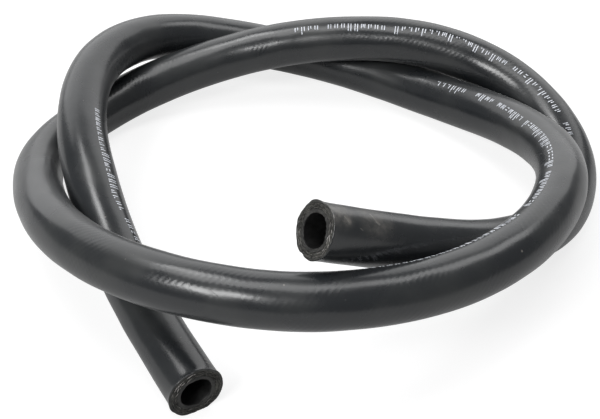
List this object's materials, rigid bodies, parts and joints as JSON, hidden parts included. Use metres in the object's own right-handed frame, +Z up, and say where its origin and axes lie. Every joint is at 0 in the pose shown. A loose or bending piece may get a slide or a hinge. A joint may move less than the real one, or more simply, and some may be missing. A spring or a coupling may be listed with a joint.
{
  "type": "rubber hose",
  "caption": "Flexible rubber hose with a smooth round bore, a braid-reinforced wall and plain cut ends, lying in a loose coil; carries liquid or suction between barbed fittings.",
  "frame": {"origin": "on the table, under the middle of the coil's bounding box", "axes": "+Z up off the table; +X to the right along the coil's longest side; -Y towards the front, where the free cut end points"},
  "size_m": [0.2007, 0.1953, 0.0603],
  "materials": {
    "inner_tube": "smooth satin rubber",
    "inner_braid": "textile yarn, cut ends showing",
    "tie_layer": "matt rubber",
    "outer_braid": "textile yarn, cut ends showing",
    "cover": "satin rubber with a faint textile impression"
  },
  "bodies": {
    "root": {"inner_tube": "inner_tube", "inner_braid": "inner_braid", "tie_layer": "tie_layer", "outer_braid": "outer_braid", "cover": "cover"}
  },
  "joints": []
}
